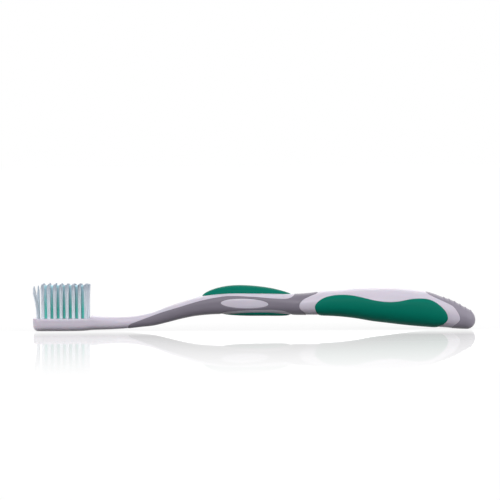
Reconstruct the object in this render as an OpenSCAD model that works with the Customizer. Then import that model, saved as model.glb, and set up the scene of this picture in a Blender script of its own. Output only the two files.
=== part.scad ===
// Manual toothbrush with a two-colour soft handle, lying on its back with the bristles up.
// The head's tip points to -X, the tail to +X, and the table is at Z = 0.
// The origin is on the table, under the middle of the brush. All sizes are millimetres.

/* [Bristle field] */
// Distance between tufts along a row
tuft_pitch = 2.63; // [2.5:0.01:3]
// Distance between rows of tufts
row_pitch = 2.6; // [2.5:0.05:3]
// Number of tufts in an outer row
tufts_per_row = 8; // [6:1:8]
// Distance from the head's tip to the first pair of tufts
tip_margin = 2.2; // [2:0.1:3]
// Distance from the first pair of tufts to the outer rows
tip_gap = 2.3; // [2:0.1:3]
// Distance from the outer rows to the last pair of tufts
heel_gap = 0.85; // [0.7:0.05:1.3]
// Distance from the last pair of tufts to the end of the bristle face
heel_margin = 1.25; // [1.1:0.05:2]
// Distance from the outer rows to the head's sides
side_margin = 2.1; // [2:0.05:2.6]

/* [Tufts] */
// Diameter of a tuft hole
tuft_d = 1.6; // [1.5:0.05:1.7]
// Depth of a tuft hole
hole_depth = 3.2; // [2.8:0.1:3.6]
// Number of strands in a tuft
strands_per_tuft = 12; // [10:1:14]
// Height of the bristles above the plate
trim_h = 15; // [10:0.5:16]
// Free space between the tips of neighbouring tufts
flare_gap = 0.4; // [0.3:0.05:0.8]
// Thickness of one strand, corner to corner
strand_d = 0.3; // [0.26:0.01:0.3]
// How far the tip tufts lean out over the head's tip
tip_lean = 1; // [0:0.1:1.2]
// How far the heel tufts lean towards the neck
heel_lean = 0.5; // [0.4:0.1:1]

/* [Anchors] */
// Length of a metal anchor across its hole
anchor_l = 2.4; // [2.1:0.05:2.5]
// Height of a metal anchor
anchor_h = 1.3; // [1:0.1:1.6]
// Thickness of a metal anchor
anchor_t = 0.25; // [0.2:0.01:0.3]
// Thickness of the folded filaments under an anchor
fold_t = 0.5; // [0.4:0.05:0.7]

/* [Head] */
// Thickness of the plate that the tufts stand in
plate_t = 5.4; // [5:0.1:5.5]
// Height of the shoulder behind the bristles, above the plate
shoulder_rise = 1; // [0.8:0.1:1.6]
// Radius of the step from the bristle face up to the shoulder
step_r = 0.7; // [0.4:0.1:0.8]
// Width of the flat at the head's tip, seen from above
tip_flat_w = 1.2; // [0.8:0.1:3]
// Radius of the head's tip, seen from the side
tip_sole_r = 2.4; // [1.5:0.1:2.8]
// Length over which the head narrows into the neck
shoulder_len = 21; // [18:0.5:26]

/* [Neck] */
// Length from the narrowest neck to the middle of the thumb rest
neck_len = 50; // [46:1:56]
// Width of the narrowest neck
neck_w = 5.8; // [5.4:0.1:7]
// Thickness of the narrowest neck
neck_t = 4.9; // [4.7:0.1:6]
// Height of the narrowest neck above the table
neck_lift = 0.95; // [0.6:0.05:1.5]

/* [Thumb rest] */
// Length from the middle of the thumb rest to the waist
rest_len = 22; // [20:1:25]
// Width of the handle at the thumb rest
rest_w = 13; // [12.5:0.1:14]
// Thickness of the handle at the thumb rest, without its pads
rest_t = 9.2; // [9:0.1:11]
// Height of the handle above the table at the thumb rest
rest_lift = 7; // [6:0.1:8]

/* [Waist] */
// Length from the waist to the thickest part of the palm
waist_len = 45; // [42:1:50]
// Width of the waist
waist_w = 11.3; // [10.8:0.1:12.5]
// Thickness of the waist
waist_t = 8.9; // [8.6:0.1:10]
// Height of the waist above the table
waist_lift = 6.4; // [5.8:0.1:7.5]

/* [Palm] */
// Length from the thickest part of the palm to the tail
tail_len = 32; // [30:1:36]
// Width of the palm
palm_w = 15.8; // [15:0.1:17]
// Thickness of the palm
palm_t = 15; // [14:0.1:16]
// Height of the palm above the table
palm_lift = 2.3; // [1.8:0.1:3]
// Width that the sides run out to at the tail
tail_w = 10; // [9.6:0.1:12]
// Thickness that the top and the underside run out to at the tail
tail_t = 7.2; // [7:0.1:8.5]
// Width of the flat at the end of the tail, seen from above
tail_flat_w = 1.2; // [0.8:0.1:3]
// Height of the flat at the end of the tail, seen from the side
tail_flat_h = 0.4; // [0.1:0.1:1.1]
// Radius of the tail's lower corner, seen from the side
tail_sole_r = 3.9; // [2.2:0.1:4.4]

/* [Soft parts] */
// Thickness of the grey sleeve below the handle's surface
sleeve_t = 0.8; // [0.6:0.05:1]
// Thickness of the palm grip below the handle's surface
grip_t = 1.4; // [1:0.1:1.8]
// Thickness of the tail cap below the handle's surface
cap_t = 1.4; // [1:0.1:1.8]
// How far the sleeve and the tail cap stand proud
grey_raise = 0.12; // [0.05:0.01:0.2]
// How far the palm grip stands proud
grip_raise = 0.35; // [0.1:0.05:0.5]
// Length of the oval window in each side of the sleeve
window_l = 20.3; // [14:0.1:22]
// Height of the oval window
window_h = 4.1; // [3:0.1:4.4]
// Angle that the window's back end points down by
window_tilt = 2; // [0:0.5:4]

/* [Pads] */
// Length of the thumb pad
thumb_l = 38; // [32:0.5:40]
// Distance from the thumb pad's back end to the waist
thumb_gap = 2.2; // [1.5:0.1:4]
// Width of the thumb pad
thumb_w = 7.6; // [6.5:0.1:8]
// How far the thumb pad swells above its edge
thumb_swell = 3.35; // [2:0.05:4]
// Length of the finger pad under the thumb rest
finger_l = 29; // [24:0.5:30]
// Distance from the finger pad's back end to the waist
finger_gap = 2.6; // [2:0.1:4]
// Width of the finger pad
finger_w = 8.8; // [5:0.1:9]
// How far the finger pad swells below its edge
finger_swell = 1.65; // [0.8:0.05:1.8]
// Depth that both pads sink into the handle
pad_depth = 1.3; // [1:0.1:1.6]
// Distance from the finger pad's ends to the opening that the sleeve leaves round it
opening_gap = 0.9; // [0.5:0.1:1.5]

/* [Locks] */
// Diameter of a stud under a pad
stud_d = 2; // [1.6:0.1:2.4]
// Diameter of the stud's head
stud_head_d = 3; // [2.6:0.1:3.4]
// Length of a stud below its pad
stud_l = 1.5; // [1.2:0.1:1.8]
// Thickness of the stud's head
stud_head_t = 0.6; // [0.5:0.05:0.8]
// Diameter of the bars that tie a soft part's two sides through the handle
bar_d = 2.2; // [1.6:0.1:2.6]

/* [Tail ribs] */
// Number of ribs across the top of the tail
rib_count = 6; // [4:1:6]
// Distance between ribs
rib_pitch = 2.3; // [2.2:0.1:2.8]
// Width of a rib along the handle
rib_w = 1.1; // [0.8:0.1:1.4]
// Length of a rib across the handle
rib_l = 7; // [5:0.1:8]
// Height of a rib above the tail cap
rib_h = 0.25; // [0.15:0.05:0.4]

/* [Hidden] */
// Clearance round a tuft's root and round an anchor
fit_gap = 0.02;
// Depth that is cut from the underside, to leave the flats that the brush lies on
sole_cut = 0.15;
// Overrun of every cutter past what it cuts
over = 1;
// Depth that a strand starts below the bristle face
strand_depth = 0.4;
// Distance from the strands to the rim of their root
strand_gap = 0.05;
// Smallest half width, height and depth at the ends of a pad
pad_tip_h = 0.25;
// Distance between the sections of the handle
ring_step = 3.3;
// Overrun of the sections of a soft part past its outline
skirt = 5;
// Length from the start of the narrowing to the end of the bristle face
narrow_before = 5;
// Angle of the anchors to the rows of tufts
anchor_turn = 45;

// Every cutter is this wide and this high, past all sides of the handle.
cut_w = 2 * palm_w;

tuft_r = tuft_d / 2;
flare_r = (min(tuft_pitch, row_pitch) - flare_gap) / 2;
shoulder_t = plate_t + shoulder_rise;
first_outer = tip_margin + tip_gap;
first_inner = first_outer + tuft_pitch / 2;
heel_at = first_outer + (tufts_per_row - 1) * tuft_pitch + heel_gap;
face_end = heel_at + heel_margin;
head_w = 3 * row_pitch + 2 * side_margin;
tip_side_r = (head_w - tip_flat_w) / 2;
tail_side_r = (tail_w - tail_flat_w) / 2;
tail_top_r = tail_t - tail_flat_h - tail_sole_r;
narrow_at = face_end - narrow_before;
neck_at = narrow_at + shoulder_len;
rest_at = neck_at + neck_len;
waist_at = rest_at + rest_len;
palm_at = waist_at + waist_len;
body_len = palm_at + tail_len;
brush_len = body_len + grey_raise;
thumb_from = waist_at - thumb_gap - thumb_l;
finger_from = waist_at - finger_gap - finger_l;

white = "#e6e1ea";
grey = "#918c98";
green = "#007664";
metal = "#b9b4a6";
white_filament = "#dfe7ec";
green_filament = "#4f9f97";

// The handle is lofted through sections. A section is a rounded box given by its place, the
// height of its underside, its thickness, its width, and the squareness of its upper and of its
// lower half (2 is an ellipse).
lift_column = 1;
thick_column = 2;
width_column = 3;
square_column = 4;
sole_square_column = 5;
head_square = 5;
neck_square = 2.3;
rest_square = 3;
waist_square = 2.3;
palm_square = 2.4;
tail_square = 2.1;
head_sole_square = 2.8;
neck_sole_square = 2.3;
rest_sole_square = 3;
waist_sole_square = 2.3;
palm_sole_square = 2.4;
tail_sole_square = 2.6;
head = [0, -sole_cut, shoulder_t + sole_cut, head_w, head_square, head_sole_square];
narrow = [narrow_at, -sole_cut, shoulder_t + sole_cut, head_w, head_square, head_sole_square];
neck = [neck_at, neck_lift, neck_t, neck_w, neck_square, neck_sole_square];
rest = [rest_at, rest_lift, rest_t, rest_w, rest_square, rest_sole_square];
waist = [waist_at, waist_lift, waist_t, waist_w, waist_square, waist_sole_square];
palm = [palm_at, palm_lift, palm_t, palm_w, palm_square, palm_sole_square];
tail = [body_len, -sole_cut, tail_t, tail_w, tail_square, tail_sole_square];

// Sections between two of these. Each row gives how far along it is, and how much of the change
// in height, thickness, width and squareness is done there. Both halves share the last one.
shoulder_shares = [[0.28, 0.42, 0.34, 0.24, 0.4], [0.52, 0.52, 0.62, 0.64, 0.75],
  [0.76, 0.68, 0.86, 0.92, 0.95]];
climb_shares = [[0.1, 0.09, 0.01, 0.02, 0.02], [0.22, 0.2, 0.19, 0.11, 0.1],
  [0.34, 0.43, 0.4, 0.28, 0.2], [0.46, 0.68, 0.51, 0.49, 0.3], [0.58, 0.87, 0.68, 0.69, 0.5],
  [0.72, 0.98, 0.83, 0.89, 0.8], [0.86, 1, 0.97, 0.98, 1]];
rest_shares = [[0.5, 0.15, 0.5, 0.41, 0.4]];
palm_shares = [[0.13, 0.02, 0.07, 0.05, 0.1], [0.27, 0.04, 0.21, 0.2, 0.3],
  [0.42, 0.13, 0.34, 0.47, 0.5], [0.58, 0.34, 0.59, 0.75, 0.7], [0.73, 0.63, 0.8, 0.93, 0.9],
  [0.87, 0.82, 0.93, 1, 1]];
tail_shares = [[0.19, 0.26, 0, 0.07, 0.1], [0.38, 0.47, 0.06, 0.2, 0.3],
  [0.56, 0.65, 0.265, 0.41, 0.5], [0.72, 0.82, 0.465, 0.62, 0.8], [0.88, 0.94, 0.79, 0.83, 1]];

function between(a, b, shares) = [for (row = shares)
  [for (c = [0:len(a) - 1]) a[c] + row[min(c, square_column)] * (b[c] - a[c])]];
sections = concat([head, narrow], between(narrow, neck, shoulder_shares), [neck],
  between(neck, rest, climb_shares), [rest], between(rest, waist, rest_shares), [waist],
  between(waist, palm, palm_shares), [palm], between(palm, tail, tail_shares), [tail]);
last_section = len(sections) - 1;

// A smooth curve runs through every column of the sections.
function span_of(s, k = 0) =
  (k >= last_section - 1 || s < sections[k + 1][0]) ? k : span_of(s, k + 1);
function slope(k, c) = let (a = sections[max(0, k - 1)], b = sections[min(last_section, k + 1)])
  (b[c] - a[c]) / (b[0] - a[0]);
function curve_at(s, c) = let (k = span_of(s), a = sections[k], b = sections[k + 1],
  w = b[0] - a[0], u = (s - a[0]) / w, v = 1 - u)
  a[c] * v * v * (1 + 2 * u) + b[c] * u * u * (1 + 2 * v)
  + w * u * v * (slope(k, c) * v - slope(k + 1, c) * u);
function along(s) = min(body_len, max(0, s));
function lift(s) = curve_at(along(s), lift_column);
function thick(s) = curve_at(along(s), thick_column);
function half_w(s) = curve_at(along(s), width_column) / 2;
function square_at(s) = curve_at(along(s), square_column);
function sole_square_at(s) = curve_at(along(s), sole_square_column);

// How far a corner of radius r has drawn in at distance d from the end of the handle.
function corner(d, r) = d >= r ? 0 : r - sqrt(max(0, r * r - (r - d) * (r - d)));

// One section, drawn in by t on every side. A negative t stands proud.
sides = 24;
function bend(v, n) = sign(v) * pow(abs(v), 2 / n);
function ring(s, t) = let (top_n = square_at(s), sole_n = sole_square_at(s), d = s - t,
  e = body_len - t - s,
  low = lift(s) + t + corner(d, tip_sole_r - t) + corner(e, tail_sole_r - t),
  high = lift(s) + thick(s) - t - corner(e, tail_top_r - t),
  w = half_w(s) - t - corner(d, tip_side_r - t) - corner(e, tail_side_r - t),
  mid = (low + high) / 2, h = (high - low) / 2)
  [for (i = [0:sides - 1]) let (a = 360 * i / sides, n = sin(a) > 0 ? top_n : sole_n)
    [s, w * bend(cos(a), n), mid + h * bend(sin(a), n)]];

// Places of the sections of a piece that runs from one place to another. Towards the tip and
// the tail, they follow the rounding of the end.
end_rings = 5;
function end_steps(r) = [for (i = [0:end_rings]) r * (1 - cos(90 * i / end_rings))];
function places(from, to, t) = let (
  start = from > 0 ? [from] : [for (d = end_steps(tip_side_r - t)) t + d],
  steps = end_steps(tail_side_r - t),
  end = to < body_len ? [to]
    : [for (i = [end_rings:-1:0]) body_len - t - steps[i]],
  a = start[len(start) - 1] + ring_step / 4, b = end[0] - ring_step / 4)
  concat(start, [for (k = [ceil(a / ring_step):floor(b / ring_step)]) k * ring_step], end);

// A closed skin over rings of points with the same number of corners.
module skin(rings) {
  n = len(rings[0]);
  m = len(rings);
  points = [for (r = rings) each r];
  walls = [for (k = [0:m - 2], i = [0:n - 1])
    each let (a = k * n + i, b = k * n + (i + 1) % n, c = a + n, d = b + n) [[a, d, b], [a, c, d]]];
  first_cap = [for (i = [1:n - 2]) [0, i, i + 1]];
  last_cap = [for (i = [1:n - 2]) [(m - 1) * n, (m - 1) * n + i + 1, (m - 1) * n + i]];
  polyhedron(points, concat(walls, first_cap, last_cap), convexity = 4);
}

module handle_skin(from, to, t) {
  skin([for (s = places(from, to, t)) ring(s, t)]);
}

// Outlines seen from the side. Each row gives the share of the way between two places and the
// share of the handle's thickness there.
edge_steps = 3;
function on_side(from, to, shares) = [for (row = shares)
  let (s = from + row[0] * (to - from)) [s, lift(s) + row[1] * thick(s)]];
function smooth(p) = concat([for (k = [0:len(p) - 2], i = [0:edge_steps - 1])
  let (u = i / edge_steps, a = p[max(0, k - 1)], b = p[k], c = p[k + 1],
    d = p[min(len(p) - 1, k + 2)])
  b + u * (c - a) / 2 + u * u * (a - 2.5 * b + 2 * c - d / 2)
    + u * u * u * (3 * b - 3 * c + d - a) / 2], [p[len(p) - 1]]);

// The upper edge of the sleeve, from the underside of the neck to the waist
sleeve_top_shares = [[0, -0.4], [0, 0.1], [0.012, 0.36], [0.06, 0.56], [0.13, 0.755],
  [0.2, 0.797], [0.3, 0.767], [0.43, 0.801], [0.54, 0.857], [0.62, 0.87], [0.75, 0.82],
  [0.87, 0.764], [0.936, 0.783], [0.969, 0.856], [0.993, 1], [1.02, 1.3]];
// The back edge of the sleeve, from the top of the waist to its underside
sleeve_back_shares = [[0.26, 1.3], [0.21, 1], [0.14, 0.895], [0.075, 0.77], [0.04, 0.6],
  [0.031, 0.45], [0.045, 0.28], [0.09, 0.08], [0.15, -0.4]];
// The opening in the sleeve round the finger pad
finger_edge_shares = [[-0.11, -0.4], [0, 0], [0.12, 0.13], [0.35, 0.185], [0.68, 0.215],
  [0.84, 0.2], [0.94, 0.13], [1, 0], [1.05, -0.4]];
// The palm grip, from its front corner over the top to its back corner
grip_edge_shares = [[0.15, -0.4], [0.127, 0], [0.112, 0.15], [0.105, 0.42], [0.125, 0.63],
  [0.165, 0.78], [0.227, 0.85], [0.295, 0.82], [0.36, 0.74], [0.43, 0.66], [0.495, 0.623],
  [0.56, 0.652], [0.63, 0.75], [0.69, 0.805], [0.74, 0.814], [0.785, 0.754], [0.829, 0.57],
  [0.842, 0.33], [0.821, 0.126], [0.79, 0], [0.75, -0.4]];
// The front edge of the tail cap, from the top of the handle to its underside
cap_edge_shares = [[0.66, 1.3], [0.723, 1], [0.784, 0.908], [0.847, 0.86], [0.878, 0.8],
  [0.903, 0.6], [0.91, 0.42], [0.899, 0.26], [0.871, 0.05], [0.84, -0.4]];

module side_cut(outline) {
  rotate([90, 0, 0])
    linear_extrude(cut_w, center = true) polygon(outline);
}

// The window is an oval in the middle of the thumb rest's sides.
window_up_share = 0.51;
window_points = 32;
window_z = rest_lift + window_up_share * rest_t;
function oval(s, z, l, h, tilt) = [for (i = [0:window_points - 1])
  let (a = 360 * i / window_points, along = l / 2 * cos(a), up = h / 2 * sin(a))
  [s + along * cos(tilt) + up * sin(tilt), z - along * sin(tilt) + up * cos(tilt)]];

module sleeve_region() {
  difference() {
    side_cut(concat(smooth(on_side(neck_at, waist_at, sleeve_top_shares)),
      smooth(on_side(waist_at, palm_at, sleeve_back_shares))));
    side_cut(smooth(on_side(finger_from - opening_gap, finger_from + finger_l + opening_gap,
      finger_edge_shares)));
    side_cut(oval(rest_at, window_z, window_l, window_h, window_tilt));
  }
}

module grip_region() {
  side_cut(smooth(on_side(waist_at, body_len, grip_edge_shares)));
}

module cap_region() {
  side_cut(concat(smooth(on_side(waist_at, body_len, cap_edge_shares)),
    [[brush_len + over, lift(body_len) - over], [brush_len + over, cut_w]]));
}

sleeve_from = neck_at - skirt;
sleeve_to = waist_at + sleeve_back_shares[1][0] * waist_len + skirt;
grip_from = waist_at + skirt;
grip_to = body_len - skirt;
cap_from = palm_at + skirt;

module sleeve_core() { handle_skin(sleeve_from, sleeve_to, sleeve_t); }
module grip_core() { handle_skin(grip_from, grip_to, grip_t); }
module cap_core() { handle_skin(cap_from, body_len, cap_t); }

// Bars that run through the handle. Each row gives the share of the way and of the thickness.
sleeve_bar_shares = [[0.18, 0.45], [0.33, 0.45]];
grip_bar_shares = [[0.2, 0.45], [0.47, 0.35], [0.75, 0.45]];
cap_bar_shares = [[0.94, 0.45]];
module bars(from, to, shares, t) {
  for (share = shares) let (s = from + share[0] * (to - from))
    translate([s, 0, lift(s) + share[1] * thick(s)])
      rotate([90, 0, 0]) cylinder(h = 2 * half_w(s) - t, d = bar_d, center = true, $fn = 48);
}
module sleeve_bars() { bars(neck_at, waist_at, sleeve_bar_shares, sleeve_t); }
module grip_bars() { bars(waist_at, body_len, grip_bar_shares, grip_t); }
module cap_bars() { bars(waist_at, body_len, cap_bar_shares, cap_t); }

// A pad is a lens on the handle's surface, which sinks into the handle to pad_depth. It swells
// outwards with one steep and one long end: the thumb pad's front is steep, and the finger pad's
// back.
pad_rings = 14;
pad_sides = 20;
pad_square = 2.2;
floor_power = 0.4;
steep_share = 0.6;
long_share = 0.8;
top_share = steep_share / (steep_share + long_share);
function swell_at(u) = pow(u / top_share, steep_share) * pow((1 - u) / (1 - top_share), long_share);
function edge_z(s, y, side) = let (n = side > 0 ? square_at(s) : sole_square_at(s),
  h = thick(s) / 2)
  lift(s) + h + side * h * pow(1 - pow(abs(y) / half_w(s), n), 1 / n);
function pad_ring(from, l, w, swell, side, u) = let (s = from + l * u,
  y = max(pad_tip_h, w * sqrt(u * (1 - u))), z = edge_z(s, y, side), f = swell_at(side > 0 ? u : 1 - u),
  out = max(pad_tip_h, swell * f), deep = max(pad_tip_h, pad_depth * pow(4 * u * (1 - u), floor_power)),
  up = side > 0 ? out : deep, down = side > 0 ? deep : out)
  [for (i = [0:pad_sides - 1]) let (a = 360 * i / pad_sides)
    [s, y * bend(cos(a), pad_square), z + (sin(a) > 0 ? up : down) * bend(sin(a), pad_square)]];
module pad_body(from, l, w, swell, side) {
  skin([for (k = [0:pad_rings]) let (u = (1 - cos(180 * k / pad_rings)) / 2)
    pad_ring(from, l, w, swell, side, u)]);
}

stud_shares = [0.2, 0.5, 0.78];
module studs(from, l, side) {
  for (share = stud_shares) let (s = from + share * l,
    z = lift(s) + thick(s) * (1 + side) / 2 - side * pad_depth / 2)
    translate([s, 0, z]) mirror([0, 0, side > 0 ? 1 : 0]) {
      cylinder(h = pad_depth / 2 + stud_l, d = stud_d, $fn = 48);
      translate([0, 0, pad_depth / 2 + stud_l - stud_head_t])
        cylinder(h = stud_head_t, d = stud_head_d, $fn = 48);
    }
}

module thumb_body() {
  pad_body(thumb_from, thumb_l, thumb_w, thumb_swell, 1);
  studs(thumb_from, thumb_l, 1);
}
module finger_body() {
  pad_body(finger_from, finger_l, finger_w, finger_swell, -1);
  studs(finger_from, finger_l, -1);
}

// Everything above works from the head's tip. The finished brush is centred on the origin.
module placed() {
  translate([-brush_len / 2, 0, 0]) children();
}
module table_cut() {
  translate([-over, -cut_w / 2, -cut_w]) cube([brush_len + 2 * over, cut_w, cut_w]);
}

// Above the bristle face, a step with a rounded foot leads up to the shoulder.
module face_cut() {
  rotate([90, 0, 0])
    linear_extrude(cut_w, center = true) {
      translate([-over, plate_t]) square([over + face_end - step_r, shoulder_t]);
      translate([-over, plate_t + step_r]) square([over + face_end, shoulder_t]);
      translate([face_end - step_r, plate_t + step_r]) circle(step_r, $fn = 48);
    }
}

// Tufts: name, place along the head, place across it, lean along the head, colour
function rows(name, count, first, y, tint) = [for (side = [["left", -1], ["right", 1]])
  for (i = [0:count - 1]) [str("tuft_", name, "_", side[0], "_", i + 1),
    first + i * tuft_pitch, side[1] * y, 0, tint]];
function pair(name, s, lean) = [for (side = [["left", -1], ["right", 1]])
  [str("tuft_", name, "_", side[0]), s, side[1] * row_pitch / 2, lean, white_filament]];
TUFTS = concat(pair("tip", tip_margin, -tip_lean),
  rows("outer", tufts_per_row, first_outer, 1.5 * row_pitch, white_filament),
  rows("inner", tufts_per_row - 1, first_inner, row_pitch / 2, green_filament),
  pair("heel", heel_at, heel_lean));

hole_floor = plate_t - hole_depth;
module anchor(grow) {
  translate([0, 0, hole_floor + fold_t + anchor_h / 2])
    rotate([0, 0, anchor_turn])
      cube([anchor_l + 2 * grow, anchor_t + 2 * grow, anchor_h + 2 * grow], center = true);
}
module tuft_seat() {
  translate([0, 0, hole_floor]) cylinder(h = hole_depth + over, r = tuft_r, $fn = 48);
  anchor(fit_gap);
}

// A strand is a straight three-sided rod from the root of the tuft to its tip. The golden angle
// from one to the next spreads them evenly.
golden = 180 * (3 - sqrt(5));
tip_drop_share = 0.05;
module strand(k, lean) {
  root_r = tuft_r - fit_gap - strand_d / 2 - strand_gap;
  share = sqrt((k + 0.5) / strands_per_tuft);
  a = k * golden;
  h = trim_h * (1 - tip_drop_share * (0.5 + sin(7 * a) / 2)) + strand_depth;
  run = (flare_r - strand_d / 2 - root_r) * share;
  dx = run * cos(a) + lean;
  dy = run * sin(a);
  l = norm([dx, dy, h]);
  translate([root_r * share * cos(a), root_r * share * sin(a), plate_t - strand_depth])
    rotate([0, acos(h / l), atan2(dy, dx)]) cylinder(h = l, d = strand_d, $fn = 3);
}
module tuft(s, y, lean, tint) {
  color(tint) placed() translate([s, y, 0]) {
    difference() {
      translate([0, 0, hole_floor]) cylinder(h = hole_depth, r = tuft_r - fit_gap, $fn = 48);
      anchor(fit_gap);
    }
    for (k = [0:strands_per_tuft - 1]) strand(k, lean);
  }
}

module tuft_anchors() {
  color(metal) placed() for (t = TUFTS) translate([t[1], t[2], 0]) anchor(0);
}

module handle_core() {
  color(white) placed() difference() {
    handle_skin(0, body_len, 0);
    table_cut();
    face_cut();
    for (t = TUFTS) translate([t[1], t[2], 0]) tuft_seat();
    difference() {
      sleeve_region();
      sleeve_core();
    }
    difference() {
      grip_region();
      grip_core();
    }
    difference() {
      cap_region();
      cap_core();
    }
    sleeve_bars();
    grip_bars();
    cap_bars();
    thumb_body();
    finger_body();
  }
}

module neck_sleeve() {
  color(grey) placed() {
    difference() {
      intersection() {
        handle_skin(sleeve_from, sleeve_to, -grey_raise);
        sleeve_region();
      }
      sleeve_core();
    }
    sleeve_bars();
  }
}

module palm_grip() {
  color(green) placed() {
    difference() {
      intersection() {
        handle_skin(grip_from, grip_to, -grip_raise);
        grip_region();
      }
      grip_core();
      table_cut();
    }
    grip_bars();
  }
}

// The ribs follow the top of the tail cap, rib_h above it.
rib_last_share = 0.976;
module rib_plan() {
  last = waist_at + rib_last_share * (body_len - waist_at);
  for (i = [0:rib_count - 1]) translate([last - i * rib_pitch, 0, 0]) {
    square([rib_w, rib_l - rib_w], center = true);
    for (side = [-1, 1]) translate([0, side * (rib_l - rib_w) / 2]) circle(rib_w / 2, $fn = 32);
  }
}
module tail_cap() {
  color(grey) placed() {
    difference() {
      intersection() {
        union() {
          handle_skin(cap_from, body_len, -grey_raise);
          intersection() {
            handle_skin(cap_from, body_len, -grey_raise - rib_h);
            translate([0, 0, tail_t]) linear_extrude(cut_w) rib_plan();
          }
        }
        cap_region();
      }
      cap_core();
      table_cut();
    }
    cap_bars();
  }
}

module thumb_pad() { color(green) placed() thumb_body(); }
module finger_pad() { color(green) placed() finger_body(); }

handle_core();
neck_sleeve();
thumb_pad();
finger_pad();
palm_grip();
tail_cap();
tuft_anchors();
for (t = TUFTS) tuft(t[1], t[2], t[3], t[4]);
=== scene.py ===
# %% [markdown]
# # A manual toothbrush, piece by piece
# A hard white handle is moulded first. Soft grey and green rubber is then moulded into shallow
# recesses in it, and tufts of folded nylon are punched into holes in its head. This lesson
# rebuilds each of those pieces as a mesh of its own, round the measured model of the brush.
# The measured model fixes the size and the place of every piece. It is loaded first.

# %% The measured model
import math

import bpy
import numpy as np
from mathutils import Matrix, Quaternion, Vector
from mathutils.bvhtree import BVHTree


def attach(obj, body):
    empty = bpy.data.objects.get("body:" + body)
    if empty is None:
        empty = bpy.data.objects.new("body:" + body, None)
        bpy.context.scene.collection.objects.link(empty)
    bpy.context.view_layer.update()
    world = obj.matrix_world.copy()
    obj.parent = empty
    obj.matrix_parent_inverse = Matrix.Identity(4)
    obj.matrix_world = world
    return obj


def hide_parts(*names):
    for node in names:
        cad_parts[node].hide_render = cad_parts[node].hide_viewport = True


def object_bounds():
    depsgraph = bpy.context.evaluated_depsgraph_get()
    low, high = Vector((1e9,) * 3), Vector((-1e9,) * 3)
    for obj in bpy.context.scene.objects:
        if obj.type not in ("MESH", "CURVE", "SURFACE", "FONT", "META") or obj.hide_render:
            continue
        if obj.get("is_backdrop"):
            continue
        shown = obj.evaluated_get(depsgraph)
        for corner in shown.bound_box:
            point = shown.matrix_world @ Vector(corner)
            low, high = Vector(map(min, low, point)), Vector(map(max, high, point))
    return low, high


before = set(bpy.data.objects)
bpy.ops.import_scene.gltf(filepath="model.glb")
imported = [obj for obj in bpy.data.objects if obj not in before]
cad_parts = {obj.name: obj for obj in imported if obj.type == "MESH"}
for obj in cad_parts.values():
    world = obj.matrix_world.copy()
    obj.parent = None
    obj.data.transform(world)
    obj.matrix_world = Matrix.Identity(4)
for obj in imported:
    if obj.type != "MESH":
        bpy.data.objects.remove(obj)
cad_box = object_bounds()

print("pieces in the measured model:", len(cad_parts))

# %% [markdown]
# ## Lengths
# The handle is drawn in millimetres. `s` is the distance from the head's tip, `y` goes across
# and `z` goes up. One function turns that into Blender's metres, with the brush centred on the
# origin, so that every piece lands where the measured model has it.

# %% Millimetres and names
MM = 0.001
FACE_END = 25.01
HEAD_W = 12
PLATE_T = 5.4
SHOULDER_T = 6.4
STEP_R = 0.7
GREY_RAISE = 0.12
SOLE_CUT = 0.15
NARROW_BEFORE = 5
SHOULDER_LEN = 21
NECK_LEN = 50
REST_LEN = 22
WAIST_LEN = 45
TAIL_LEN = 32
NARROW_AT = FACE_END - NARROW_BEFORE
NECK_AT = NARROW_AT + SHOULDER_LEN
REST_AT = NECK_AT + NECK_LEN
WAIST_AT = REST_AT + REST_LEN
PALM_AT = WAIST_AT + WAIST_LEN
BODY_LEN = PALM_AT + TAIL_LEN
BRUSH_LEN = BODY_LEN + GREY_RAISE


def in_metres(points):
    moved = np.array(points, float)
    moved[:, 0] -= BRUSH_LEN / 2
    return moved * MM


def put_in_scene(name, data):
    made = bpy.data.objects.new(name, data)
    bpy.context.scene.collection.objects.link(made)
    return made


print("length of the brush:", BRUSH_LEN, "mm")

# %% [markdown]
# ## The shape of the handle
# The handle is a loft: a rounded section slides along a path and changes as it goes. It could
# be sculpted or made with subdivision surfaces, but a loft keeps the measured heights exactly.
# Each section has its place, the height of its underside, its thickness, its width and the
# squareness of its upper and its lower half, where 2 is an ellipse and more is boxier. Between
# two main sections, rows of shares say how much of the change is done. A smooth curve then runs
# through every column.

# %% Main sections
HEAD_SQUARE = 5
HEAD_SOLE_SQUARE = 2.8
head = np.array([0, -SOLE_CUT, SHOULDER_T + SOLE_CUT, HEAD_W, HEAD_SQUARE,
                 HEAD_SOLE_SQUARE])
narrow = np.array([NARROW_AT, *head[1:]])
neck = np.array([NECK_AT, 0.95, 4.9, 5.8, 2.3, 2.3])
rest = np.array([REST_AT, 7.0, 9.2, 13, 3, 3])
waist = np.array([WAIST_AT, 6.4, 8.9, 11.3, 2.3, 2.3])
palm = np.array([PALM_AT, 2.3, 15, 15.8, 2.4, 2.4])
tail = np.array([BODY_LEN, -SOLE_CUT, 7.2, 10, 2.1, 2.6])
print("widths in mm:", [float(section[3]) for section in (head, neck, rest, waist, palm, tail)])

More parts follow.
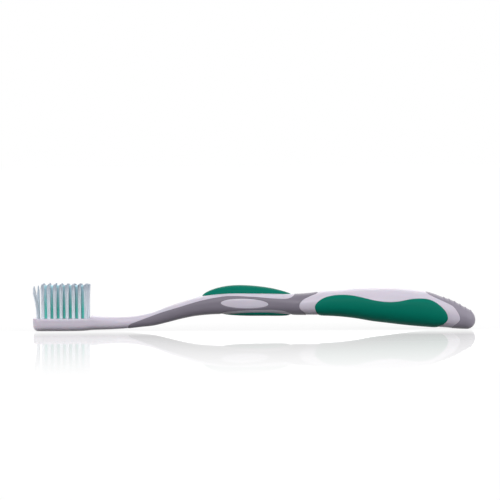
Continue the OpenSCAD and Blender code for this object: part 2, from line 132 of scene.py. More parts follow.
# %% The shares between them
shoulder_shares = [[0.28, 0.42, 0.34, 0.24, 0.4], [0.52, 0.52, 0.62, 0.64, 0.75],
                   [0.76, 0.68, 0.86, 0.92, 0.95]]
climb_shares = [[0.1, 0.09, 0.01, 0.02, 0.02], [0.22, 0.2, 0.19, 0.11, 0.1],
                [0.34, 0.43, 0.4, 0.28, 0.2], [0.46, 0.68, 0.51, 0.49, 0.3],
                [0.58, 0.87, 0.68, 0.69, 0.5], [0.72, 0.98, 0.83, 0.89, 0.8],
                [0.86, 1, 0.97, 0.98, 1]]
rest_shares = [[0.5, 0.15, 0.5, 0.41, 0.4]]
palm_shares = [[0.13, 0.02, 0.07, 0.05, 0.1], [0.27, 0.04, 0.21, 0.2, 0.3],
               [0.42, 0.13, 0.34, 0.47, 0.5], [0.58, 0.34, 0.59, 0.75, 0.7],
               [0.73, 0.63, 0.8, 0.93, 0.9], [0.87, 0.82, 0.93, 1, 1]]
tail_shares = [[0.19, 0.26, 0, 0.07, 0.1], [0.38, 0.47, 0.06, 0.2, 0.3],
               [0.56, 0.65, 0.265, 0.41, 0.5], [0.72, 0.82, 0.465, 0.62, 0.8],
               [0.88, 0.94, 0.79, 0.83, 1]]


def between(a, b, shares):
    return [a + np.array([*row, row[-1]]) * (b - a) for row in shares]


sections = np.array([head, narrow, *between(narrow, neck, shoulder_shares), neck,
                     *between(neck, rest, climb_shares), rest,
                     *between(rest, waist, rest_shares), waist,
                     *between(waist, palm, palm_shares), palm,
                     *between(palm, tail, tail_shares), tail])
print("sections:", len(sections))

# %% A smooth curve through every column
SPOTS = sections[:, 0]
SLOPES = np.empty_like(sections)
SLOPES[1:-1] = (sections[2:] - sections[:-2]) / (SPOTS[2:] - SPOTS[:-2])[:, None]
SLOPES[0] = (sections[1] - sections[0]) / (SPOTS[1] - SPOTS[0])
SLOPES[-1] = (sections[-1] - sections[-2]) / (SPOTS[-1] - SPOTS[-2])


def section_at(s):
    """Lift, thickness, half width and upper and lower squareness at the places s."""
    s = np.clip(np.asarray(s, float), 0, BODY_LEN)
    k = np.clip(np.searchsorted(SPOTS, s, "right") - 1, 0, len(SPOTS) - 2)
    run = (SPOTS[k + 1] - SPOTS[k])[..., None]
    u = (s[..., None] - SPOTS[k][..., None]) / run
    v = 1 - u
    row = (sections[k] * v * v * (1 + 2 * u) + sections[k + 1] * u * u * (1 + 2 * v)
           + run * u * v * (SLOPES[k] * v - SLOPES[k + 1] * u))
    return row[..., 1], row[..., 2], row[..., 3] / 2, row[..., 4], row[..., 5]


print("thickness at the thumb rest:", round(float(section_at(REST_AT)[1]), 2), "mm")

# %% [markdown]
# ## One skin for the whole handle
# The white handle and the soft parts share one surface, so they are all cut from one fine skin.
# The two ends round off along circles, and rows stand closer together there. The plate that
# carries the bristles is thinner than the shoulder behind it, so the skin is pressed down to a
# flat face with soft edges there, and a small rounded step leads up behind it. Where the brush
# lies on the table, the skin is pressed up to two small flats.

# %% Rows of the skin
TIP_SIDE_R = 5.4
TIP_SOLE_R = 2.4
TIP_TOP_R = 0.3
TAIL_SIDE_R = 4.4
TAIL_TOP_R = 2.9
TAIL_SOLE_R = 3.9
ROW_STEP = 0.55
END_ROWS = 20
FOOT_ROWS = 7
AROUND = 128
NO_CEILING = 99.0

end_curve = 1 - np.cos(np.linspace(0, math.pi / 2, END_ROWS))
tip_rows = TIP_SIDE_R * end_curve
tail_rows = BODY_LEN - TAIL_SIDE_R * end_curve[::-1]
foot_at = FACE_END - STEP_R
face_rows = np.linspace(tip_rows[-1], foot_at, int((foot_at - tip_rows[-1]) / ROW_STEP))[1:]
foot_turn = np.linspace(0, math.pi / 2, FOOT_ROWS)[1:]
foot_rows = foot_at + STEP_R * np.sin(foot_turn)
long_rows = np.linspace(FACE_END, tail_rows[0],
                        int((tail_rows[0] - FACE_END) / ROW_STEP))[:-1]
row_place = np.concatenate([tip_rows, face_rows, foot_rows, long_rows, tail_rows])
before_foot = len(tip_rows) + len(face_rows)
row_ceiling = np.full(len(row_place), NO_CEILING)
row_ceiling[:before_foot] = PLATE_T
over_foot = slice(before_foot, before_foot + len(foot_rows))
row_ceiling[over_foot] = PLATE_T + STEP_R * (1 - np.cos(foot_turn))


def corner(d, r):
    """How far a corner of radius r has drawn in at distance d from the end."""
    return np.where(d >= r, 0, r - np.sqrt(np.maximum(0, r * r - (r - d) ** 2)))


row_ceiling[:before_foot] -= corner(row_place[:before_foot], TIP_TOP_R)
print("rows:", len(row_place), "points around:", AROUND)

# %% Points of the skin
SOFT_EDGE = 0.55
SOLE_EDGE = 0.1


def soft_min(a, b, width):
    """The smaller of a and b, with the corner where they meet rounded off."""
    near = np.maximum(width - np.abs(a - b), 0) / width
    return np.minimum(a, b) - near * near * width / 4


def ring_points(s, turn):
    lift, thick, half_w, upper, lower = section_at(s)
    from_tail = BODY_LEN - s
    low = lift + corner(s, TIP_SOLE_R) + corner(from_tail, TAIL_SOLE_R)
    high = lift + thick - corner(from_tail, TAIL_TOP_R)
    wide = half_w - corner(s, TIP_SIDE_R) - corner(from_tail, TAIL_SIDE_R)
    c, d = np.cos(turn), np.sin(turn)
    square = np.where(d > 0, upper, lower)
    reach = (np.abs(c) ** square + np.abs(d) ** square) ** (-1 / square)
    return wide * c * reach, (low + high) / 2 + (high - low) / 2 * d * reach


place_grid, turn_grid = np.meshgrid(row_place, np.linspace(0, 2 * math.pi, AROUND, False),
                                    indexing="ij")
y_grid, z_grid = ring_points(place_grid, turn_grid)
z_grid = soft_min(z_grid, row_ceiling[:, None], SOFT_EDGE)
z_grid = -soft_min(-z_grid, 0, SOLE_EDGE)
skin_points = np.stack([place_grid, y_grid, z_grid], -1).reshape(-1, 3)
print("skin points:", len(skin_points))

# %% Faces of the skin
TINY = 1e-12


def faces_between(rows, around):
    """Two triangles at each step along and around a tube of rings."""
    along, turn = np.arange(rows - 1)[:, None] * around, np.arange(around)
    i, j = (along + turn).ravel(), (along + (turn + 1) % around).ravel()
    return np.vstack([np.stack([i, i + around, j + around], 1),
                      np.stack([i, j + around, j], 1)])


def volume(points, faces):
    a, b, c = (points[faces[:, i]] for i in range(3))
    return float(np.einsum("ij,ij->i", a, np.cross(b, c)).sum() / 6)


def outward(points, faces):
    """The faces, all turned over if they point inwards."""
    return faces[:, ::-1] if volume(points, faces) < 0 else faces


def point_normals(points, faces):
    a, b, c = (points[faces[:, i]] for i in range(3))
    flat = np.cross(b - a, c - a)
    total = np.zeros_like(points)
    for i in range(3):
        np.add.at(total, faces[:, i], flat)
    return total / np.maximum(np.linalg.norm(total, axis=1, keepdims=True), TINY)


row_count = len(row_place)
skin_faces = faces_between(row_count, AROUND)
for end_row in (0, row_count - 1):
    loop = end_row * AROUND + np.arange(AROUND)
    centre = len(skin_points)
    skin_points = np.vstack([skin_points, skin_points[loop].mean(0)])
    fan = np.stack([np.full(AROUND, centre), loop, np.roll(loop, -1)], 1)
    skin_faces = np.vstack([skin_faces, fan if end_row == 0 else fan[:, ::-1]])
skin_faces = outward(skin_points, skin_faces)
print("volume inside the skin:", round(volume(skin_points, skin_faces)), "mm3")

# %% [markdown]
# ## Where the soft parts lie
# In the mould, a steel edge presses against the white handle round each soft part, and that edge
# leaves a clean line. Seen from the side, each line is a smooth curve through a few listed
# points: a share of the way along, and a share of the handle's thickness there. For every point
# of the skin, the distance to the line says how far inside or outside the soft part it is.

# %% Smooth outlines seen from the side
EDGE_STEPS = 6
sleeve_top_shares = [[0, -0.4], [0, 0.1], [0.012, 0.36], [0.06, 0.56], [0.13, 0.755],
                     [0.2, 0.797], [0.3, 0.767], [0.43, 0.801], [0.54, 0.857], [0.62, 0.87],
                     [0.75, 0.82], [0.87, 0.764], [0.936, 0.783], [0.969, 0.856],
                     [0.993, 1], [1.02, 1.3]]
sleeve_back_shares = [[0.26, 1.3], [0.21, 1], [0.14, 0.895], [0.075, 0.77], [0.04, 0.6],
                      [0.031, 0.45], [0.045, 0.28], [0.09, 0.08], [0.15, -0.4]]
finger_edge_shares = [[-0.11, -0.4], [0, 0], [0.12, 0.13], [0.35, 0.185], [0.68, 0.215],
                      [0.84, 0.2], [0.94, 0.13], [1, 0], [1.05, -0.4]]
grip_edge_shares = [[0.15, -0.4], [0.127, 0], [0.112, 0.15], [0.105, 0.42], [0.125, 0.63],
                    [0.165, 0.78], [0.227, 0.85], [0.295, 0.82], [0.36, 0.74], [0.43, 0.66],
                    [0.495, 0.623], [0.56, 0.652], [0.63, 0.75], [0.69, 0.805],
                    [0.74, 0.814], [0.785, 0.754], [0.829, 0.57], [0.842, 0.33],
                    [0.821, 0.126], [0.79, 0], [0.75, -0.4]]
cap_edge_shares = [[0.66, 1.3], [0.723, 1], [0.784, 0.908], [0.847, 0.86], [0.878, 0.8],
                   [0.903, 0.6], [0.91, 0.42], [0.899, 0.26], [0.871, 0.05], [0.84, -0.4]]


def on_side(start, end, shares):
    shares = np.array(shares)
    s = start + shares[:, 0] * (end - start)
    lift, thick = section_at(s)[:2]
    return np.stack([s, lift + shares[:, 1] * thick], 1)


def smooth(points):
    padded = np.vstack([points[:1], points, points[-1:]])
    a, b, c, d = padded[:-3], padded[1:-2], padded[2:-1], padded[3:]
    steps = [b + u * (c - a) / 2 + u * u * (a - 2.5 * b + 2 * c - d / 2)
             + u ** 3 * (3 * b - 3 * c + d - a) / 2
             for u in np.arange(EDGE_STEPS) / EDGE_STEPS]
    return np.vstack([np.stack(steps, 1).reshape(-1, 2), points[-1:]])


# %% The outlines themselves
THUMB_L = 38
THUMB_GAP = 2.2
THUMB_FROM = WAIST_AT - THUMB_GAP - THUMB_L
FINGER_L = 29
FINGER_GAP = 2.6
FINGER_FROM = WAIST_AT - FINGER_GAP - FINGER_L
OPENING_GAP = 0.9
WINDOW_L = 20.3
WINDOW_H = 4.1
WINDOW_TILT = math.radians(2)
WINDOW_UP_SHARE = 0.51
OVAL_POINTS = 64
CLEAR_OF_ALL = 5

sleeve_line = np.vstack([smooth(on_side(NECK_AT, WAIST_AT, sleeve_top_shares)),
                         smooth(on_side(WAIST_AT, PALM_AT, sleeve_back_shares))])
opening_line = smooth(on_side(FINGER_FROM - OPENING_GAP, FINGER_FROM + FINGER_L + OPENING_GAP,
                              finger_edge_shares))
grip_line = smooth(on_side(WAIST_AT, BODY_LEN, grip_edge_shares))
past_tail = BRUSH_LEN + CLEAR_OF_ALL
cap_line = np.vstack([smooth(on_side(WAIST_AT, BODY_LEN, cap_edge_shares)),
                      [[past_tail, -2 * CLEAR_OF_ALL], [past_tail, 8 * CLEAR_OF_ALL]]])
oval_turn = np.linspace(0, 2 * math.pi, OVAL_POINTS, False)
window_z = rest[1] + WINDOW_UP_SHARE * rest[2]
along, up = WINDOW_L / 2 * np.cos(oval_turn), WINDOW_H / 2 * np.sin(oval_turn)
tilt_cos, tilt_sin = math.cos(WINDOW_TILT), math.sin(WINDOW_TILT)
window_line = np.stack([REST_AT + along * tilt_cos + up * tilt_sin,
                        window_z - along * tilt_sin + up * tilt_cos], 1)
print("points on the palm grip's outline:", len(grip_line))


# %% Distance to an outline
def distance_to(outline, s, z):
    """Distance to a closed outline, negative inside it."""
    a = outline
    run = np.roll(outline, -1, 0) - a
    best = np.full(len(s), np.inf)
    inside = np.zeros(len(s), bool)
    for (as_, az), (ds, dz) in zip(a, run):
        rs, rz = s - as_, z - az
        u = np.clip((rs * ds + rz * dz) / max(ds * ds + dz * dz, TINY), 0, 1)
        best = np.minimum(best, np.hypot(rs - u * ds, rz - u * dz))
        crosses = (az > z) != (az + dz > z)
        if abs(dz) > TINY:
            inside ^= crosses & (s < as_ + (z - az) / dz * ds)
    return np.where(inside, -best, best)


def oval_distance(s, y, start, length, width):
    """About the distance to an oval pad's edge, seen from above."""
    x = (s - start - length / 2) / (length / 2)
    v = y / (width / 2)
    grow = np.hypot(x / (length / 2), v / (width / 2))
    return (x * x + v * v - 1) / (2 * np.maximum(grow, 1e-6))


THUMB_W = 7.6
FINGER_W = 8.8
FAR = 9.0
s, y, z = skin_points.T
middle = section_at(s)[0] + section_at(s)[1] / 2
fields = {
    "sleeve": np.maximum.reduce([distance_to(sleeve_line, s, z),
                                 -distance_to(opening_line, s, z),
                                 -distance_to(window_line, s, z)]),
    "grip": distance_to(grip_line, s, z),
    "cap": distance_to(cap_line, s, z),
    "thumb": np.where(z > middle, oval_distance(s, y, THUMB_FROM, THUMB_L, THUMB_W), FAR),
    "finger": np.where(z < middle, oval_distance(s, y, FINGER_FROM, FINGER_L, FINGER_W), FAR),
}
for name, field in fields.items():
    print(name, "covers", round(100 * float((field < 0).mean())), "% of the skin's points")

# %% [markdown]
# ## Cutting the skin along the lines
# A coarse grid can't follow these curves, so every triangle that a line crosses is split there.
# It is split again a little way inside and outside, because those strips become the rounded rim
# of the soft part and the crisp edge of the recess. A point that nearly lies on a line is moved
# onto it, which avoids needle-thin triangles.

# %% Split every triangle that crosses a level of a field
SNAP = 0.02


def split(columns, faces, which, level):
    """columns holds one row for each point: its place, its normal and its fields."""
    d = columns[:, which] - level
    close = np.abs(d) < SNAP
    columns[close, which] = level
    d[close] = 0
    sign = np.sign(d)[faces]
    crossed = sign * np.roll(sign, -1, 1) < 0
    number = crossed.sum(1)
    pairs = np.sort(np.stack([faces, np.roll(faces, -1, 1)], -1)[crossed], 1)
    pairs = np.unique(pairs, axis=0)
    if not len(pairs):
        return columns, faces
    da, db = d[pairs[:, 0]], d[pairs[:, 1]]
    u = (da / (da - db))[:, None]
    fresh = columns[pairs[:, 0]] * (1 - u) + columns[pairs[:, 1]] * u
    fresh[:, which] = level
    start = len(columns)
    key = {(int(a), int(b)): start + i for i, (a, b) in enumerate(pairs)}
    made = []
    for face, marks in zip(faces[number > 0].tolist(), crossed[number > 0].tolist()):
        ids = [key[tuple(sorted((face[i], face[(i + 1) % 3])))] if marks[i] else None
               for i in range(3)]
        if sum(marks) == 1:
            i = marks.index(True)
            a, b, c, p = face[i], face[(i + 1) % 3], face[(i + 2) % 3], ids[i]
            made += [[a, p, c], [p, b, c]]
        else:
            i = marks.index(False)
            b, c, a = face[i], face[(i + 1) % 3], face[(i + 2) % 3]
            p, q = ids[(i + 2) % 3], ids[(i + 1) % 3]
            made += [[a, p, q], [p, b, c], [p, c, q]]
    return np.vstack([columns, fresh]), np.vstack([faces[number == 0], np.array(made)])


# %% Cut at the rims
EDGE_LEVELS = [0.18, 0.06, 0, -0.05, -0.12, -0.25, -0.5]
GRIP_LEVELS = [0.18, 0.06, 0, -0.05, -0.15, -0.35, -0.65, -1, -1.5, -2.2]
PAD_LEVELS = [0, -0.06, -0.16, -0.36, -0.8]
levels = {"sleeve": EDGE_LEVELS, "grip": GRIP_LEVELS, "cap": EDGE_LEVELS,
          "thumb": PAD_LEVELS, "finger": PAD_LEVELS}
field_names = list(fields)
columns = np.hstack([skin_points, point_normals(skin_points, skin_faces),
                     np.stack([fields[name] for name in field_names], 1)])
faces = skin_faces
for i, name in enumerate(field_names):
    for level in levels[name]:
        columns, faces = split(columns, faces, 6 + i, level)
points = columns[:, :3]
normals = columns[:, 3:6] / np.linalg.norm(columns[:, 3:6], axis=1, keepdims=True)
depth_in = {name: -columns[:, 6 + i] for i, name in enumerate(field_names)}
print("triangles after the cuts:", len(faces))

# %% [markdown]
# ## Turning points and faces into pieces
# A small helper makes the Blender object. Its origin stays at the world's origin, and its place
# is in its points. Faces are shaded smooth, except where two of them meet at a sharp edge.

# %% Make a piece from points and faces
SHARP = math.radians(48)


def drop_loose(points, faces):
    used, new_faces = np.unique(faces, return_inverse=True)
    return points[used], new_faces.reshape(faces.shape)


def open_edges(faces):
    edges = np.sort(np.stack([faces, np.roll(faces, -1, 1)], -1).reshape(-1, 2), 1)
    return int((np.unique(edges, axis=0, return_counts=True)[1] != 2).sum())


def make_piece(name, points, faces, material):
    mesh = bpy.data.meshes.new(name)
    mesh.from_pydata(in_metres(points).tolist(), [], faces.tolist())
    mesh.validate()
    mesh.shade_smooth()
    mesh.set_sharp_from_angle(angle=SHARP)
    mesh.materials.append(material)
    print(name, "open edges:", open_edges(faces), "volume:", round(volume(points, faces)), "mm3")
    return put_in_scene(name, mesh)


print("faces sharper than", round(math.degrees(SHARP)), "degrees keep their edge")

# %% [markdown]
# ## Finishes
# Every finish starts from the real material: what it is, how its surface was made and what that
# gives the eye. Colours are written as they look on a screen, and one function turns them into
# the linear values that the shader works with. Patterns are sized in millimetres.

# %% Colour and nodes
WHITE = (1.0, 1.0, 1.0, 1.0)
NOISE = "ShaderNodeTexNoise"
RANGE = "ShaderNodeMapRange"
MATH = "ShaderNodeMath"


def linear(hex_colour):
    """A screen colour such as #dcd6e2 as linear red, green, blue and alpha."""
    parts = [int(hex_colour[i:i + 2], 16) / 255 for i in (1, 3, 5)]
    return (*[c / 12.92 if c <= 0.04045 else ((c + 0.055) / 1.055) ** 2.4 for c in parts], 1)


def feed(tree, node, inputs):
    """Sets inputs. Each takes a value, an output socket, or a node for its first output."""
    for name, value in inputs.items():
        source = value.outputs[0] if isinstance(value, bpy.types.Node) else value
        if isinstance(source, bpy.types.NodeSocket):
            tree.links.new(source, node.inputs[name])
        else:
            node.inputs[name].default_value = value


def add(tree, kind, inputs=None, **settings):
    """Adds one node with its settings and links."""
    made = tree.nodes.new(kind)
    for name, value in settings.items():
        setattr(made, name, value)
    feed(tree, made, inputs or {})
    return made


def per_mm(size):
    """The noise scale at which one blob of a pattern is about this many millimetres wide."""
    return 1 / (size * MM)


def empty_tree(owner):
    """Turns the nodes of a material or a world on, and starts with none."""
    owner.use_nodes = True
    owner.node_tree.nodes.clear()
    return owner.node_tree


def new_finish(name):
    material = bpy.data.materials.new(name)
    tree = empty_tree(material)
    where = add(tree, "ShaderNodeTexCoord").outputs["Object"]
    shader = add(tree, "ShaderNodeBsdfPrincipled")
    add(tree, "ShaderNodeOutputMaterial", {"Surface": shader})
    return material, tree, where, shader


print("mid grey, linear:", round(linear("#808080")[0], 3))

# %% Polypropylene, injection moulded
# Polished steel moulds leave it smooth and softly glossy, with a very faint orange peel. Flow in
# the mould clouds its white a little. IOR 1.49.
polypropylene, tree, where, shader = new_finish("polypropylene_white")
cloud = add(tree, NOISE, {"Vector": where, "Scale": per_mm(14), "Detail": 2})
tint = add(tree, "ShaderNodeMix", {0: cloud, 6: linear("#d6cfdd"), 7: linear("#cdc6d4")},
           data_type="RGBA")
wipe = add(tree, NOISE, {"Vector": where, "Scale": per_mm(3), "Detail": 3})
gloss = add(tree, RANGE, {"Value": wipe, "To Min": 0.26, "To Max": 0.38})
peel = add(tree, NOISE, {"Vector": where, "Scale": per_mm(0.9), "Detail": 1})
bump = add(tree, "ShaderNodeBump", {"Height": peel, "Strength": 0.5, "Distance": 0.006 * MM})
feed(tree, shader, {"Base Color": tint.outputs[2], "Roughness": gloss, "Normal": bump,
                    "IOR": 1.49, "Specular IOR Level": 0.3, "Subsurface Weight": 0.1,
                    "Subsurface Scale": 1.2 * MM})
print("finish:", polypropylene.name)

# %% Thermoplastic elastomer, moulded over the plastic
# The mould is spark-eroded there, which leaves a fine matt grain that feels dry in wet hands.
# The real grain is about 0.05 mm. It is drawn at 0.22 mm, because finer grain can't be seen
# here. IOR 1.48. The green is the more matt. The cap is the same grey rubber as the sleeve,
# painted a little lighter: painted light for the light that falls on the tail.
GRAIN = 0.22
GLOSS_SPREAD = 0.07


def rubber(name, light, dark, rough, shine):
    material, tree, where, shader = new_finish(name)
    cloud = add(tree, NOISE, {"Vector": where, "Scale": per_mm(9), "Detail": 3})
    grain = add(tree, NOISE, {"Vector": where, "Scale": per_mm(GRAIN), "Detail": 2})
    both = add(tree, MATH, {0: cloud, 1: grain, 2: -0.25}, operation="MULTIPLY_ADD")
    tint = add(tree, "ShaderNodeMix", {0: both, 6: linear(dark), 7: linear(light)},
               data_type="RGBA", clamp_factor=True)
    gloss = add(tree, RANGE, {
        "Value": grain, "To Min": rough - GLOSS_SPREAD, "To Max": rough + GLOSS_SPREAD})
    bump = add(tree, "ShaderNodeBump", {"Height": grain, "Strength": 0.6, "Distance": 0.02 * MM})
    feed(tree, shader, {"Base Color": tint.outputs[2], "Roughness": gloss, "Normal": bump,
                        "IOR": 1.48, "Specular IOR Level": shine})
    return material


grey_rubber = rubber("tpe_grey_eroded", "#88828f", "#7b7582", 0.42, 0.4)
# Painted light: the sleeve's grey rubber, painted lighter for the light that falls on the tail.
cap_rubber_painted_lighter = rubber("tpe_grey_eroded_painted_lighter", "#9b95a3", "#8e8896", 0.42, 0.4)
green_rubber = rubber("tpe_green_eroded", "#00806d", "#007462", 0.5, 0.08)
print("grain drawn at", GRAIN, "mm")

# %% Nylon filament, drawn and cut
# Drawn nylon is smooth and half clear, so a tuft glows a little where light comes through it.
# Its colour is in the nylon. Over it, a colour that changes with height is painted on: the green
# is painted paler and brighter at the top, where the filaments spread, as painted light, and the
# white is painted greyer where they are trimmed, as painted shade. The two last values are the
# heights above the table, in mm, between which the painted colour takes over. IOR 1.53.
def nylon(name, root_colour, painted_tip_colour, fade_from, fade_to):
    material, tree, where, shader = new_finish(name)
    height = add(tree, "ShaderNodeSeparateXYZ", {"Vector": where}).outputs["Z"]
    # Painted light and shade: the share of the painted tip colour, growing with the height.
    painted_tip_share = add(tree, RANGE, {
        "Value": height, "From Min": fade_from * MM, "From Max": fade_to * MM})
    streak = add(tree, NOISE, {"Vector": where, "Scale": per_mm(0.5), "Detail": 1})
    tint = add(tree, "ShaderNodeMix", {0: painted_tip_share, 6: linear(root_colour), 7: linear(painted_tip_colour)},
               data_type="RGBA")
    shade = add(tree, RANGE, {"Value": streak, "To Min": 0.86, "To Max": 1.1})
    streaked_painted_tint = add(tree, "ShaderNodeHueSaturation", {"Value": shade, "Color": tint.outputs[2]})
    gloss = add(tree, RANGE, {"Value": streak, "To Min": 0.25, "To Max": 0.4})
    feed(tree, shader, {"Base Color": streaked_painted_tint, "Roughness": gloss, "IOR": 1.53,
                        "Subsurface Weight": 0.3, "Subsurface Radius": (1.0, 1.0, 1.0),
                        "Subsurface Scale": 0.1 * MM})
    return material


# Painted shade: the white filaments turn greyer towards their trimmed tips.
white_nylon = nylon("nylon_white_painted_shade_tips", "#e8f0fa", "#bcc6d2", 17, 20)
# Painted light: the green filaments turn paler and brighter towards their spread tips.
green_nylon = nylon("nylon_green_painted_light_tips", "#68d8cc", "#d0f4ff", 9.5, 18)
print("filament finishes:", white_nylon.name, "and", green_nylon.name)

# %% Nickel silver, rolled and cut
# The anchors are cut from rolled wire, so fine lines run along them. They keep their measured
# shape, because the tufts hide them.
nickel_silver, tree, where, shader = new_finish("nickel_silver")
lines = add(tree, "ShaderNodeMapping", {"Vector": where, "Scale": (1, 1, 8)})
roll = add(tree, NOISE, {"Vector": lines, "Scale": per_mm(0.4), "Detail": 2})
tint = add(tree, "ShaderNodeMix", {0: roll, 6: linear("#c2bcab"), 7: linear("#a8a292")},
           data_type="RGBA")
gloss = add(tree, RANGE, {"Value": roll, "To Min": 0.22, "To Max": 0.38})
feed(tree, shader, {"Base Color": tint.outputs[2], "Roughness": gloss, "Metallic": 1.0})
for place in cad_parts["tuft_anchors"].material_slots:
    place.material = nickel_silver
print("metal finish:", nickel_silver.name)

# %% [markdown]
# ## The white handle
# It is one moulding. Its recesses hold the soft parts, with a steep wall at the edge, and two
# bowl-shaped pockets hold the pads. All of them are pressed into the shared skin by moving its
# points inwards. The holes for the tufts are round and deep, so they are cut out of the head.

# %% Press the recesses and the pad pockets into the skin
RECESS_DEPTHS = {"sleeve": 0.8, "grip": 1.4, "cap": 1.4}
CLEAR = 0.03
LINE_DEPTH = 0.05
FIRST_DIP = 0.012
WALL_AT = [-0.18, -0.06, 0, 0.05]
PAD_DEPTH = 1.3
PAD_SQUARE = 2.2
FLOOR_POWER = 0.4


def rim_height(s, y, side):
    """Height of the handle's top (side 1) or underside (side -1) at s and y."""
    lift, thick, half_w, upper, lower = section_at(s)
    square = upper if side > 0 else lower
    fall = np.minimum(np.abs(y) / half_w, 1) ** square
    return lift + thick / 2 + side * thick / 2 * (1 - fall) ** (1 / square)


def press_pocket(points, inside, start, length, width, side):
    s, y = points[inside, 0], points[inside, 1]
    u = np.clip((s - start) / length, 1e-4, 1 - 1e-4)
    edge = width * np.sqrt(u * (1 - u))
    round_off = (1 - np.minimum(np.abs(y) / edge, 1) ** PAD_SQUARE) ** (1 / PAD_SQUARE)
    deep = PAD_DEPTH * (4 * u * (1 - u)) ** FLOOR_POWER + CLEAR
    points[inside, 2] = rim_height(s, edge, side) - side * deep * round_off


handle_points = points.copy()
for name, depth in RECESS_DEPTHS.items():
    sink = np.interp(depth_in[name], WALL_AT, [0, FIRST_DIP, LINE_DEPTH, depth + CLEAR])
    handle_points -= normals * sink[:, None]
PADS = {"thumb": (THUMB_FROM, THUMB_L, THUMB_W, 1),
        "finger": (FINGER_FROM, FINGER_L, FINGER_W, -1)}
for name, sizes in PADS.items():
    press_pocket(handle_points, depth_in[name] > 0, *sizes)
white_handle = make_piece("white_handle", handle_points, faces, polypropylene)

# %% Where the tufts stand
TUFT_R = 0.8
HOLE_DEPTH = 3.2
TUFT_PITCH = 2.63
ROW_PITCH = 2.6
FIRST_OUTER = 4.5
TIP_AT = 2.2
TUFTS_PER_ROW = 8
HEEL_GAP = 0.85
HEEL_AT = FIRST_OUTER + (TUFTS_PER_ROW - 1) * TUFT_PITCH + HEEL_GAP
INNER_Y, OUTER_Y = ROW_PITCH / 2, 1.5 * ROW_PITCH

tufts = {}
for side, sign in (("left", -1), ("right", 1)):
    tufts[f"tip_{side}"] = (TIP_AT, sign * INNER_Y)
    for i in range(TUFTS_PER_ROW):
        tufts[f"outer_{side}_{i + 1}"] = (FIRST_OUTER + i * TUFT_PITCH, sign * OUTER_Y)
    for i in range(TUFTS_PER_ROW - 1):
        tufts[f"inner_{side}_{i + 1}"] = (FIRST_OUTER + (i + 0.5) * TUFT_PITCH, sign * INNER_Y)
    tufts[f"heel_{side}"] = (HEEL_AT, sign * INNER_Y)
print("tufts:", len(tufts))

# %% Cut the tuft holes
HOLE_SIDES = 32
OVERRUN = 1
hole_turn = np.linspace(0, 2 * math.pi, HOLE_SIDES, False)
disc = np.stack([np.cos(hole_turn), np.sin(hole_turn), np.zeros(HOLE_SIDES)], 1) * TUFT_R
cutter_points, cutter_faces = [], []
for s, y in tufts.values():
    start = len(cutter_points)
    for z in (PLATE_T - HOLE_DEPTH, PLATE_T + OVERRUN):
        cutter_points += (disc + [s, y, z]).tolist()
    low = [start + i for i in range(HOLE_SIDES)]
    high = [i + HOLE_SIDES for i in low]
    cutter_faces += [low[::-1], high]
    cutter_faces += [[low[i - 1], low[i], high[i], high[i - 1]] for i in range(HOLE_SIDES)]
cutter_mesh = bpy.data.meshes.new("hole_cutter")
cutter_mesh.from_pydata(in_metres(cutter_points).tolist(), [], cutter_faces)
cutter = put_in_scene("hole_cutter", cutter_mesh)
holes = white_handle.modifiers.new("holes", "BOOLEAN")
holes.operation = "DIFFERENCE"
holes.solver = "MANIFOLD"
holes.object = cutter


def as_plain_mesh(piece):
    """Applies a piece's modifiers and leaves it with a plain mesh."""
    graph = bpy.context.evaluated_depsgraph_get()
    mesh = bpy.data.meshes.new_from_object(piece.evaluated_get(graph), depsgraph=graph)
    piece.modifiers.clear()
    piece.data = mesh
    return mesh


before = len(white_handle.data.polygons)
mesh = as_plain_mesh(white_handle)
mesh.set_sharp_from_angle(angle=SHARP)
bpy.data.objects.remove(cutter)
print("faces before and after the holes:", before, len(mesh.polygons))

# %% [markdown]
# ## The soft parts
# Each one is a slice of the same skin. Its outside stands a little proud, with a rim that
# rounds down to the line where the mould closed. Its inside follows the floor of the recess, and
# a wall joins the two, so that it is a closed piece like the real moulding.

# %% Lift a soft part off the skin
def rim_profile(depth, proud, radius):
    """Height above the white handle at a distance inside the edge."""
    near = 1 - np.minimum(depth / radius, 1)
    return (proud + LINE_DEPTH) * np.sqrt(1 - near * near) - LINE_DEPTH


def lift_part(name, field, proud, radius, material):
    depth = depth_in[field]
    chosen = faces[(depth[faces] >= 0).all(1) & (depth[faces] > 0).any(1)]
    outside, own = drop_loose(points, chosen)
    used = np.unique(chosen)
    depth, normal = depth[used], normals[used]
    inside = outside - normal * (RECESS_DEPTHS[field] - CLEAR)
    outside = outside + normal * rim_profile(depth, proud, radius)[:, None]
    outside[:, 2] = np.maximum(outside[:, 2], 0)
    count = len(outside)
    edges = np.stack([own, np.roll(own, -1, 1)], -1).reshape(-1, 2)
    _, spot, times = np.unique(np.sort(edges, 1), axis=0, return_index=True, return_counts=True)
    border = edges[spot[times == 1]]
    a, b = border[:, 0], border[:, 1]
    walls = np.vstack([np.stack([b, a, a + count], 1), np.stack([b, a + count, b + count], 1)])
    closed = np.vstack([own, own[:, ::-1] + count, walls])
    return make_piece(name, np.vstack([outside, inside]), closed, material)


GRIP_RAISE = 0.35
GRIP_RIM_R = 2.2
GREY_RIM_R = 0.5
grey_sleeve = lift_part("grey_neck_sleeve", "sleeve", GREY_RAISE, GREY_RIM_R, grey_rubber)
green_grip = lift_part("green_palm_grip", "grip", GRIP_RAISE, GRIP_RIM_R, green_rubber)
grey_cap = lift_part("grey_tail_cap", "cap", GREY_RAISE, GREY_RIM_R, cap_rubber_painted_lighter)

# %% [markdown]
# ## The two pads
# The thumb pad swells on top of the handle, steep in front and long behind. The finger pad is a
# flatter one underneath. Both are lenses: each section is a rounded oval whose lower half fills
# the pocket. Closed rings make them, because their ends have to run out to thin tips.

